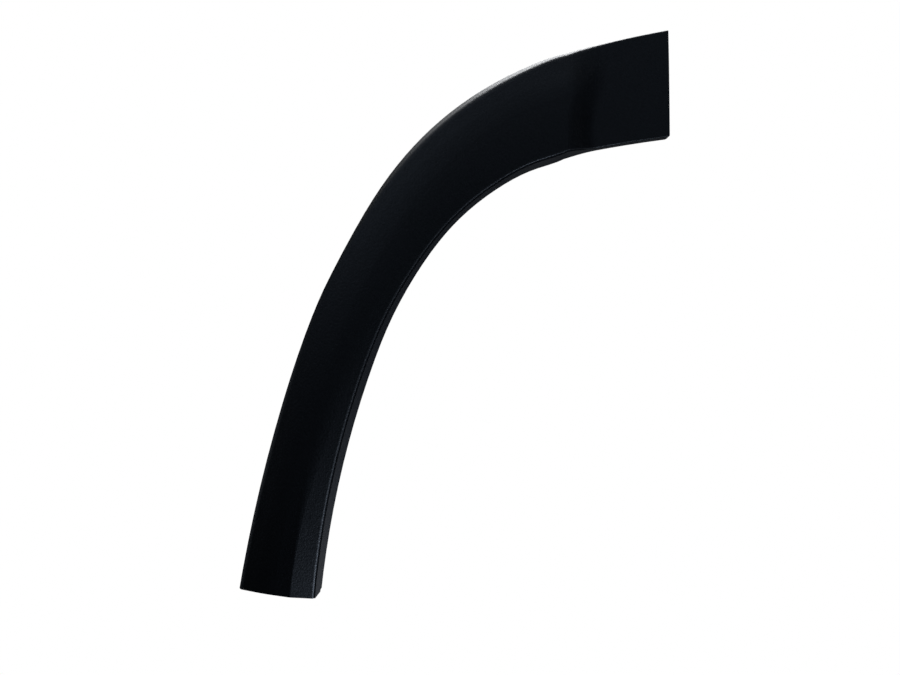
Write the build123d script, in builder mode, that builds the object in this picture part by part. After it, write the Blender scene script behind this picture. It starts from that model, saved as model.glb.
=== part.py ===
from build123d import *
from math import atan2, cos, degrees, radians, sin
import os

# Door flare molding: the front part of a rear wheel-arch trim, the stretch that the rear door carries.
# It is a hollow shell of black plastic that lies with its rim on the door skin and is held by push-in clips.
# X points to the rear of the car, Z up and Y into the door. The door skin is the plane Y = 0.
# The origin is where the round locating peg meets the door skin. Lengths are millimetres, angles degrees.

# Opening line: the free edge of the return flange, drawn upwards from the foot in tangent arcs
foot_heading = 83.98
leg_radius = 828.4
leg_turn = 14.72
knee_radius = 350.0
knee_turn = 16.68
shoulder_radius = 204.6
shoulder_turn = 41.42
crown_radius = 1096.0
crown_turn = 3.8

# Places along the opening line, as fractions of its length
foot_spread_end = 0.30
crease_fade_start = 0.05
crease_fade_end = 0.40
knee_place = 0.43
arch_place = 0.74
valley_place = 0.8366
valley_end = 0.8886
belly_settled = 0.91
plate_place = 0.95

# Shape of two changes along the line: below 1 the valley drops early and levels out slowly,
# and the width takes up its growth over this share of the arch
valley_onset = 0.8
growth_take_up = 0.5

# Width of the molding, from the opening line out to the rim that lies on the door
foot_width = 67.0
leg_width = 61.5
valley_width = 86.8
rear_width = 91.4

# Heights of the face above the door skin, from its outer crest to its inner edge
leg_crest_height = 15.5
arch_crest_height = 14.0
plate_crest_height = 5.0
leg_belly_height = 24.2
arch_belly_height = 20.5
plate_belly_height = 8.6
leg_crease_height = 27.6
arch_crease_height = 24.2
plate_crease_height = 10.6
foot_edge_height = 22.6
flare_edge_height = 25.2
plate_edge_height = 12.0

# Places of the belly and the crease across the face, as shares from its inner edge to the rim
belly_share = 0.64
crease_share = 0.30

# How far the outer flank leans out from the crest down to the rim
leg_flank_lean = 1.2
arch_flank_lean = 5.5
plate_flank_lean = 0.8

# Rabbet and return flange along the inner edge
foot_flange_offset = 3.0
leg_flange_offset = 4.7
arch_flange_offset = 1.9
plate_flange_offset = 0.5
flare_rabbet_depth = 2.2
plate_rabbet_depth = 1.3
flare_ledge = 1.2
plate_ledge = 0.2
rabbet_draft = 0.05
flare_flange_depth = 14.0
plate_flange_depth = 2.0

# Wall of the shell, and how far from each corner of the cross-section its rounding starts
wall = 2.8
flare_crest_setback = 3.6
plate_crest_setback = 1.9
belly_setback = 8.0
sharp_crease_setback = 0.5
faded_crease_setback = 10.0
flare_edge_setback = 1.6
plate_edge_setback = 0.9
hollow_crest_setback = 1.2
hollow_edge_setback = 1.5

# Roundings of the corners at the two ends
foot_corner_radius = 3.0
flange_corner_radius = 6.0
rear_corner_radius = 1.5
corner_overrun = 2.0

# Cross-sections that the two lofted stretches pass through
flare_sections = 15
rear_sections = 18

# Ribs, clip towers and locating pegs inside the hollow
rib_thickness = 2.0
rib_door_gap = 2.0
rib_places = [0.14, 0.32, 0.50, 0.68, 0.8366]
peg_places = [0.50, 0.14]
peg_share = 0.5
peg_radius = 3.0
peg_length = 10.0
peg_tip_chamfer = 1.0
peg_boss_radius = 5.0
clip_places = [0.05, 0.23, 0.41, 0.59, 0.76, 0.93]
clip_share = 0.45
tower_width = 20.0
tower_length = 19.0
tower_wall = 1.8
tower_plate = 2.5
tower_door_gap = 1.5

# Retaining clips
clip_neck_radius = 3.2
clip_neck_clearance = 0.2
clip_head_radius = 6.5
clip_head_thickness = 1.4
clip_seal_radius = 8.5
clip_seal_lip = 0.7
clip_core_radius = 2.8
clip_barb_radius = 4.4
clip_barb_pitch = 3.2
clip_barbs = 3
clip_tip_radius = 1.5
clip_tip_length = 4.0


def ease(t, start, end):
    """Smooth step from 0 at the start to 1 at the end."""
    x = min(max((t - start) / (end - start), 0.0), 1.0)
    return x * x * (3 - 2 * x)


def mix(low, high, share):
    return low + (high - low) * share


def drop(t):
    """How far the flare has dropped to the plate: quick where the valley starts, then levelling out."""
    x = min(max((t - valley_place) / (valley_end - valley_place), 0.0), 1.0)
    return ease(x**valley_onset, 0, 1)


def foot_part(t):
    """How much of the foot's spread is left at t."""
    return max(1 - t / foot_spread_end, 0.0) ** 2


def width_at(t):
    """Width of the molding: spread at the foot, even along the leg and growing steadily over the arch."""
    if t > valley_place:
        return mix(valley_width, rear_width, (t - valley_place) / (1 - valley_place))
    x = max((t - knee_place) / (valley_place - knee_place), 0.0)
    grown = x * x / (2 * growth_take_up) if x < growth_take_up else x - growth_take_up / 2
    arch_part = grown / (1 - growth_take_up / 2)
    return leg_width + (foot_width - leg_width) * foot_part(t) + (valley_width - leg_width) * arch_part


def three(t, leg, arch, plate):
    """Value that eases from the leg to the arch and from the arch to the plate."""
    return mix(mix(leg, arch, ease(t, crease_fade_end, arch_place)), plate, ease(t, arch_place, plate_place))


def outer_corners(t):
    """Corners of the cross-section at t, from the rim over the face to the flange's free edge.

    The first coordinate is the distance from the opening line, the second the height above the door skin.
    """
    dropped = drop(t)
    width = width_at(t)
    inner = mix(leg_flange_offset, foot_flange_offset, foot_part(t))
    inner = mix(inner, arch_flange_offset, ease(t, foot_spread_end, arch_place))
    inner = mix(inner, plate_flange_offset, dropped)
    face = width - inner
    lean = three(t, leg_flank_lean, arch_flank_lean, plate_flank_lean)
    crest = three(t, leg_crest_height, arch_crest_height, plate_crest_height)
    belly = mix(leg_belly_height, arch_belly_height, ease(t, crease_fade_start, arch_place))
    belly = mix(belly, plate_belly_height, ease(t, valley_place, belly_settled))
    crease = mix(leg_crease_height, arch_crease_height, ease(t, crease_fade_start, arch_place))
    crease = mix(crease, plate_crease_height, dropped)
    edge = mix(flare_edge_height, foot_edge_height, foot_part(t))
    edge = mix(edge, plate_edge_height, dropped)
    shelf = edge - mix(flare_rabbet_depth, plate_rabbet_depth, dropped)
    ledge = mix(flare_ledge, plate_ledge, dropped)
    depth = mix(flare_flange_depth, plate_flange_depth, dropped)
    return [
        Vector(width, 0),
        Vector(width - lean, crest),
        Vector(inner + face * belly_share, belly),
        Vector(inner + face * crease_share, crease),
        Vector(inner, edge),
        Vector(inner - rabbet_draft, shelf),
        Vector(inner - rabbet_draft - ledge, shelf),
        Vector(0, -depth),
    ]


def crossing(first, second):
    """Point where two lines cross, each given by two of its points."""
    p, r = first[0], second[0]
    d, e = first[1] - p, second[1] - r
    return p + d * (((r - p).X * e.Y - (r - p).Y * e.X) / (d.X * e.Y - d.Y * e.X))


def inner_corners(corners, distance, flange_level, rim_level):
    """Corners of the hollow's side, a distance inside the outer ones, from the flange back to the rim.

    The flange and the rim are each cut off at a level above the door skin.
    """
    rim, crest, belly, crease, edge, _, ledge, tip = corners
    lines = [(Vector(0, flange_level), Vector(1, flange_level))]
    for p, q in [(tip, ledge), (edge, crease), (crease, belly), (belly, crest), (crest, rim)]:
        along = (q - p).normalized()
        move = Vector(along.Y, -along.X) * distance
        lines.append((p + move, q + move))
    lines.append((Vector(0, rim_level), Vector(1, rim_level)))
    return [crossing(first, second) for first, second in zip(lines, lines[1:])]


def rounded_outline(points, setbacks):
    """Closed outline past the points, with each corner rounded over its setback."""
    ends = []
    for index, (point, setback) in enumerate(zip(points, setbacks)):
        back = (points[index - 1] - point).normalized()
        ahead = (points[(index + 1) % len(points)] - point).normalized()
        ends.append((point + back * setback, point + ahead * setback))
    for index, (point, setback) in enumerate(zip(points, setbacks)):
        if setback:
            Bezier(ends[index][0], point, ends[index][1])
        Line(ends[index][1], ends[(index + 1) % len(ends)][0])


def wall_outline(t):
    """Cross-section of the shell: out over the face, down the flange and back along the hollow."""
    crest = mix(flare_crest_setback, plate_crest_setback, ease(t, arch_place, plate_place))
    crease = mix(sharp_crease_setback, faded_crease_setback, ease(t, crease_fade_start, crease_fade_end))
    edge = mix(flare_edge_setback, plate_edge_setback, drop(t))
    corners = outer_corners(t)
    hollow = inner_corners(corners, wall, corners[-1].Y, 0)
    outside = [0, crest, belly_setback, crease, edge, 0, 0, 0]
    inside_back = [0, hollow_edge_setback, crease, belly_setback, hollow_crest_setback, 0]
    rounded_outline(corners + hollow, outside + inside_back)


def hollow_corners(t, level):
    """Corners of the hollow's cross-section above a level, reaching half-way into the walls."""
    return inner_corners(outer_corners(t), wall / 2, level, level)


with BuildLine(Plane.XZ) as opening:
    start = (cos(radians(foot_heading)), sin(radians(foot_heading)))
    leg = JernArc((0, 0), start, leg_radius, -leg_turn)
    knee = JernArc(leg @ 1, leg % 1, knee_radius, -knee_turn)
    shoulder = JernArc(knee @ 1, knee % 1, shoulder_radius, -shoulder_turn)
    crown = JernArc(shoulder @ 1, shoulder % 1, crown_radius, -crown_turn)
drawn_line = opening.wire()


def heading(t):
    forward = drawn_line % t
    return degrees(atan2(forward.Z, forward.X))


def outward(t):
    """Direction of the cross-section at t: they fan from square at the foot to upright from the valley on."""
    if t > valley_place:
        return Vector(0, 0, 1)
    turn = (heading(t) - heading(valley_place)) * heading(0) / (heading(0) - heading(valley_place))
    return Vector(-sin(radians(turn)), 0, cos(radians(turn)))


origin = drawn_line @ peg_places[0] + outward(peg_places[0]) * (width_at(peg_places[0]) * peg_share)


def section_plane(t):
    """Plane of the cross-section at t, with its x axis outwards and its y axis away from the door."""
    out = outward(t)
    return Plane(drawn_line @ t - origin, x_dir=out, z_dir=out.cross(Vector(0, -1, 0)))


def seat_plane(t, share):
    """Plane on the door skin at t and a share of the width, facing into the hollow."""
    out = outward(t)
    return Plane(drawn_line @ t - origin + out * (width_at(t) * share), x_dir=out, z_dir=(0, -1, 0))


def corner_waste(corner, radius):
    """What is cut away outside a rounded corner, between the x and y axes of a plane at its point."""
    with BuildSketch(corner) as waste:
        with Locations((-corner_overrun, -corner_overrun)):
            Rectangle(radius + corner_overrun, radius + corner_overrun, align=(Align.MIN, Align.MIN))
        with Locations((radius, radius)):
            Circle(radius, mode=Mode.SUBTRACT)
    return waste.sketch


def end_corner(t, along, across, share):
    """Plane along the door skin at a corner of the end at t, its axes pointing into the molding."""
    return Plane(seat_plane(t, share).origin, x_dir=across, z_dir=across.cross(along))


flare_places = [valley_place * index / (flare_sections - 1) for index in range(flare_sections)]
rear_places = [mix(valley_place, 1, index / (rear_sections - 1)) for index in range(rear_sections)]
tallest = leg_crease_height + wall
keyhole_radius = clip_neck_radius + clip_neck_clearance

with BuildPart() as inside:
    for t in rib_places:
        with BuildSketch(section_plane(t)):
            with BuildLine():
                Polyline(*hollow_corners(t, rib_door_gap), close=True)
            make_face()
        extrude(amount=rib_thickness / 2, both=True)
    for t, inwards in ((0, wall), (1, -wall)):
        with BuildSketch(section_plane(t)):
            with BuildLine():
                Polyline(*hollow_corners(t, 0), close=True)
            make_face()
        extrude(amount=inwards)
    for t in clip_places:
        with BuildSketch(section_plane(t)):
            with BuildLine():
                Polyline(*hollow_corners(t, tower_door_gap), close=True)
            make_face()
            with Locations((width_at(t) * clip_share, 0)):
                Rectangle(tower_width, tallest, align=(Align.CENTER, Align.MIN), mode=Mode.INTERSECT)
        extrude(amount=tower_length / 2, both=True)
        seat = seat_plane(t, clip_share)
        with BuildSketch(seat.offset(tower_door_gap + tower_plate)):
            with Locations((0, tower_wall)):
                Rectangle(tower_width - 2 * tower_wall, tower_length)
        extrude(amount=tallest, mode=Mode.SUBTRACT)
        with BuildSketch(seat):
            Circle(keyhole_radius)
            Rectangle(2 * keyhole_radius, tower_length, align=(Align.CENTER, Align.MIN))
        extrude(amount=tower_door_gap + tower_plate, mode=Mode.SUBTRACT)
    for t in peg_places:
        crease, belly = hollow_corners(t, 0)[2:4]
        middle = width_at(t) * peg_share
        boss_height = crossing((crease, belly), (Vector(middle, 0), Vector(middle, 1))).Y
        with BuildSketch(seat_plane(t, peg_share)):
            Circle(peg_boss_radius)
        extrude(amount=boss_height)
        with BuildSketch(seat_plane(t, peg_share)):
            Circle(peg_radius)
        extrude(amount=-peg_length)
        chamfer(edges(Select.LAST).filter_by(GeomType.CIRCLE).sort_by(Axis.Y)[-1], peg_tip_chamfer)

with BuildPart() as flare_molding:
    for places in (flare_places, rear_places):
        for t in places:
            with BuildSketch(section_plane(t)):
                with BuildLine():
                    wall_outline(t)
                make_face()
        loft()
    add(inside.part)
    foot = section_plane(0)
    rear = section_plane(1)
    for corner, radius in (
        (end_corner(0, foot.z_dir, -foot.x_dir, 1), foot_corner_radius),
        (end_corner(1, -rear.z_dir, -rear.x_dir, 1), rear_corner_radius),
        (end_corner(1, -rear.z_dir, rear.x_dir, 0), rear_corner_radius),
    ):
        extrude(corner_waste(corner, radius), amount=tallest, both=True, mode=Mode.SUBTRACT)
    flange_tip = foot.from_local_coords((0, -flare_flange_depth, 0))
    flange_corner = Plane(flange_tip, x_dir=foot.y_dir, z_dir=-foot.x_dir)
    flange_span = leg_flange_offset + wall
    flange_waste = corner_waste(flange_corner, flange_corner_radius)
    extrude(flange_waste, amount=flange_span, both=True, mode=Mode.SUBTRACT)

flare_molding.part.label = "flare_molding"
os.makedirs("parts", exist_ok=True)
export_step(flare_molding.part, "parts/flare_molding.step")

barb_start = -tower_door_gap
for number, t in enumerate(clip_places, 1):
    seat = seat_plane(t, clip_share)
    under_plate = tower_door_gap + tower_plate
    stem = [(clip_core_radius, 0), (clip_core_radius, barb_start)]
    for barb in range(clip_barbs):
        top = barb_start - barb * clip_barb_pitch
        stem += [(clip_barb_radius, top), (clip_core_radius, top - clip_barb_pitch)]
    end = barb_start - clip_barbs * clip_barb_pitch
    with BuildPart() as clip:
        with BuildSketch(Plane(seat.origin, x_dir=seat.x_dir, z_dir=seat.y_dir * -1)):
            with BuildLine():
                Polyline(
                    (0, under_plate + clip_head_thickness),
                    (clip_head_radius, under_plate + clip_head_thickness),
                    (clip_head_radius, under_plate),
                    (clip_neck_radius, under_plate),
                    (clip_neck_radius, tower_door_gap),
                    (clip_seal_radius, tower_door_gap),
                    (clip_seal_radius, tower_door_gap - clip_seal_lip),
                    *stem,
                    (clip_tip_radius, end - clip_tip_length),
                    (0, end - clip_tip_length),
                    close=True,
                )
            make_face()
        revolve(axis=Axis(seat.origin, seat.z_dir))
    clip.part.label = f"retaining_clip_{number}"
    export_step(clip.part, f"parts/retaining_clip_{number}.step")
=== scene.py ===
import math

import bpy
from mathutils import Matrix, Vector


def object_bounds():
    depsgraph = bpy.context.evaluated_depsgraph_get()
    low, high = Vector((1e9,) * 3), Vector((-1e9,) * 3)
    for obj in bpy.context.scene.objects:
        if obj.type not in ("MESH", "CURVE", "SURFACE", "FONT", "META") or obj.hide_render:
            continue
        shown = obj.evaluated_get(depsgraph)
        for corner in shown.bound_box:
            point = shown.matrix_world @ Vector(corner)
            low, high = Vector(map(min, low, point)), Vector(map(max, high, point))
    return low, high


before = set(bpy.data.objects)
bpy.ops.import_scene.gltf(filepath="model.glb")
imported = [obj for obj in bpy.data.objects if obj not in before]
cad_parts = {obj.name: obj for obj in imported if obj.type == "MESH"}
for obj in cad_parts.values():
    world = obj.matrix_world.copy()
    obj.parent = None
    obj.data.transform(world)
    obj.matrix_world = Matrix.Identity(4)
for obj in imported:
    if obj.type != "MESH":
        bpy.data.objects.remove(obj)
cad_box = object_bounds()

# Places in metres, worked out from the box of the molding
low_corner, high_corner = cad_box
leg_width = 0.062
floor_drop = 0.96
floor_forward = 0.39
middle = [round((low + high) / 2, 2) for low, high in zip(low_corner, high_corner)]
foot = (low_corner[0] + leg_width, 0.0, low_corner[2])
floor_middle = (middle[0], middle[1] - floor_forward, middle[2] - floor_drop)

WHITE = (1.0, 1.0, 1.0, 1.0)
BLACK = (0.0, 0.0, 0.0, 1.0)


# Nodes that the materials and the studio share

def node_at(tree, kind, place):
    node = tree.nodes.new(kind)
    node.location = place
    return node


def set_sockets(node, settings):
    for socket, setting in settings.items():
        node.inputs[socket].default_value = setting


def noise(tree, place, vector, scale, detail, roughness=0.5):
    node = node_at(tree, "ShaderNodeTexNoise", place)
    set_sockets(node, {"Scale": scale, "Detail": detail, "Roughness": roughness})
    tree.links.new(vector, node.inputs["Vector"])
    return node.outputs["Fac"]


def two_tones(tree, place, value, dark, pale, reach=(0.0, 1.0)):
    """A colour that goes from dark to pale while the value crosses its reach."""
    node = node_at(tree, "ShaderNodeValToRGB", place)
    for stop, position, tone in zip(node.color_ramp.elements, reach, (dark, pale)):
        stop.position = position
        stop.color = (*tone, 1.0)
    tree.links.new(value, node.inputs["Fac"])
    return node.outputs["Color"]


def carried(tree, place, value, start, end, reach=(0.0, 1.0)):
    """A number that goes from start to end while the value crosses its reach."""
    node = node_at(tree, "ShaderNodeMapRange", place)
    set_sockets(node, {"From Min": reach[0], "From Max": reach[1], "To Min": start, "To Max": end})
    tree.links.new(value, node.inputs["Value"])
    return node.outputs["Result"]


def larger_of(tree, place, one, other):
    node = node_at(tree, "ShaderNodeMath", place)
    node.operation = "MAXIMUM"
    tree.links.new(one, node.inputs[0])
    tree.links.new(other, node.inputs[1])
    return node.outputs[0]


def new_material(name, settings):
    """An empty material, with the settings that are the same all over the surface."""
    material = bpy.data.materials.new(name)
    material.use_nodes = True
    shader = material.node_tree.nodes["Principled BSDF"]
    set_sockets(shader, settings)
    return material, material.node_tree, shader


# Finishes of the molding and its clips

def black_grained_plastic():
    """Bluish black plastic: faint moulding marks, and a fine grain that is shallower on the drafted walls."""
    material, tree, shader = new_material("black_grained_plastic", {
        "IOR": 1.49,
        "Specular IOR Level": 0.29,
        "Specular Tint": (0.6, 0.76, 1.0, 1.0),
    })
    surface = node_at(tree, "ShaderNodeTexCoord", (-1400, 0))

    moulding_marks = noise(tree, (-1100, 320), surface.outputs["Object"], scale=9.0, detail=3.0)
    colour = two_tones(
        tree, (-820, 320), moulding_marks, reach=(0.3, 0.7),
        dark=(0.0018, 0.0024, 0.0037), pale=(0.0024, 0.0031, 0.0047),
    )
    tree.links.new(colour, shader.inputs["Base Color"])

    grain = noise(tree, (-1100, -120), surface.outputs["Object"], scale=620.0, detail=2.0, roughness=0.6)
    dullness = carried(tree, (-820, -60), grain, start=0.4, end=0.54, reach=(0.3, 0.7))
    tree.links.new(dullness, shader.inputs["Roughness"])

    facing = node_at(tree, "ShaderNodeSeparateXYZ", (-1100, -480))
    tree.links.new(surface.outputs["Normal"], facing.inputs["Vector"])
    grain_strength = carried(tree, (-820, -420), facing.outputs["Y"], start=1.0, end=0.1, reach=(-0.8, -0.4))

    grain_relief = node_at(tree, "ShaderNodeBump", (-520, -240))
    set_sockets(grain_relief, {"Distance": 0.0003})
    tree.links.new(grain_strength, grain_relief.inputs["Strength"])
    tree.links.new(grain, grain_relief.inputs["Height"])
    tree.links.new(grain_relief.outputs["Normal"], shader.inputs["Normal"])
    return material


def clip_nylon():
    """Undyed nylon: slightly cloudy, and a little light passes into it."""
    material, tree, shader = new_material("clip_nylon", {
        "Subsurface Weight": 0.1,
        "Subsurface Radius": (0.002, 0.0015, 0.001),
    })
    surface = node_at(tree, "ShaderNodeTexCoord", (-1100, 0))

    cloud = noise(tree, (-820, 100), surface.outputs["Object"], scale=180.0, detail=3.0)
    colour = two_tones(tree, (-540, 160), cloud, dark=(0.66, 0.65, 0.60), pale=(0.76, 0.75, 0.70))
    tree.links.new(colour, shader.inputs["Base Color"])

    dullness = carried(tree, (-540, -120), cloud, start=0.38, end=0.55)
    tree.links.new(dullness, shader.inputs["Roughness"])
    return material


def dress(node, material):
    slots = node.material_slots
    if not slots:
        node.data.materials.append(material)
    for slot in slots:
        slot.material = material


def dress_molding():
    plastic = black_grained_plastic()
    nylon = clip_nylon()
    for name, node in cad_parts.items():
        dress(node, nylon if name.startswith("retaining_clip") else plastic)


# Studio: white surroundings, a black flag, a floor, lamps and the camera

def studio_white():
    """White where it is seen, mirrored or looked through, and a dim fill for all other light."""
    world = bpy.data.worlds.new("studio")
    bpy.context.scene.world = world
    world.use_nodes = True
    tree = world.node_tree
    background = tree.nodes["Background"]
    set_sockets(background, {"Color": WHITE})

    rays = node_at(tree, "ShaderNodeLightPath", (-900, 0))
    seen = larger_of(tree, (-650, 80), rays.outputs["Is Camera Ray"], rays.outputs["Is Glossy Ray"])
    shown = larger_of(tree, (-450, 0), seen, rays.outputs["Is Transmission Ray"])
    strength = carried(tree, (-250, 0), shown, start=0.2, end=1.0)
    tree.links.new(strength, background.inputs["Strength"])


def black_flag():
    """Velvet dome round the set, open behind and above the molding: it only shows in the gloss."""
    dome_radius = 2.4
    opening_back = 0.1
    opening_height = 1.1
    opening_slant = 0.2

    bpy.ops.object.select_all(action="DESELECT")
    bpy.ops.mesh.primitive_uv_sphere_add(segments=48, ring_count=24, radius=dome_radius, location=middle)
    flag = bpy.context.object
    flag.name = "black_flag"
    bpy.ops.object.mode_set(mode="EDIT")
    bpy.ops.mesh.select_all(action="DESELECT")
    bpy.ops.object.mode_set(mode="OBJECT")
    for face in flag.data.polygons:
        x, y, z = face.center
        face.select = y > opening_back and z + opening_slant * x > opening_height
    bpy.ops.object.mode_set(mode="EDIT")
    bpy.ops.mesh.select_mode(type="FACE")
    bpy.ops.mesh.delete(type="FACE")
    bpy.ops.object.mode_set(mode="OBJECT")

    velvet, _, _ = new_material("black_velvet", {"Base Color": BLACK, "Specular IOR Level": 0.0})
    flag.data.materials.append(velvet)
    flag.visible_camera = False
    flag.visible_diffuse = False
    flag.visible_transmission = False
    flag.visible_shadow = False


def pale_floor():
    """Floor below the camera's view: it is seen from higher angles and throws no light up."""
    floor_side = 4.0

    bpy.ops.object.select_all(action="DESELECT")
    bpy.ops.mesh.primitive_plane_add(size=floor_side, location=floor_middle)
    floor = bpy.context.object
    floor.name = "floor"
    paint, _, _ = new_material("pale_floor", {"Base Color": (0.9, 0.9, 0.9, 1.0), "Roughness": 0.8})
    floor.data.materials.append(paint)
    floor.visible_glossy = False
    floor.visible_diffuse = False


def soft_box(name, hung, aim, side, watts):
    """Square lamp, hung so far right, back and up from the middle of the molding, that faces its aim."""
    light = bpy.data.lights.new(name, "AREA")
    light.shape = "SQUARE"
    light.size = side
    light.energy = watts
    lamp = bpy.data.objects.new(name, light)
    bpy.context.collection.objects.link(lamp)
    place = [start + step for start, step in zip(middle, hung)]
    right, back, up = [end - start for start, end in zip(place, aim)]
    lamp.location = place
    lamp.rotation_euler = (math.atan2(math.hypot(right, back), -up), 0.0, math.atan2(-right, back))
    lamp.visible_camera = False


def studio_lamps():
    # Broad highlights on the face
    soft_box("front_left", hung=(-0.42, -0.44, 0.29), aim=middle, side=0.4, watts=0.2)
    soft_box("front_right", hung=(0.3, -0.49, 0.38), aim=middle, side=0.4, watts=0.21)
    soft_box("top_left", hung=(-0.33, -0.25, 0.43), aim=middle, side=0.4, watts=0.31)
    soft_box("top", hung=(-0.01, -0.29, 0.64), aim=middle, side=0.4, watts=0.29)
    soft_box("front_low", hung=(0.26, -0.89, -0.16), aim=middle, side=0.4, watts=0.22)

    # Crease and inner edge at the foot
    soft_box("low_right", hung=(0.19, -0.05, -0.5), aim=foot, side=0.25, watts=4.6)

    # Outer flank, return flange and back
    soft_box("back_top", hung=(0.03, 0.78, 0.93), aim=middle, side=0.5, watts=5.0)
    soft_box("back_low", hung=(0.48, 1.61, -0.86), aim=middle, side=0.6, watts=0.36)
    soft_box("back_fill", hung=(-0.17, 2.21, 0.34), aim=middle, side=0.3, watts=16.0)
    soft_box("back_left", hung=(-1.2, 0.11, 0.01), aim=middle, side=0.5, watts=0.8)

    # Floor alone, from above it and below the molding
    soft_box("floor_wash", hung=(0.0, -floor_forward, -0.46), aim=floor_middle, side=5.6, watts=100.0)


def photo_camera():
    camera = bpy.data.objects.new("camera", bpy.data.cameras.new("camera"))
    bpy.context.collection.objects.link(camera)
    camera.data.lens = 50.0
    camera.data.sensor_width = 36.0
    camera.data.clip_start = 0.01
    camera.location = (0.06294, -1.054, -0.05805)
    camera.rotation_euler = (math.radians(90.0), 0.0, 0.0)
    bpy.context.scene.camera = camera


dress_molding()
studio_white()
black_flag()
pale_floor()
studio_lamps()
photo_camera()
bpy.context.scene.view_settings.view_transform = "Standard"
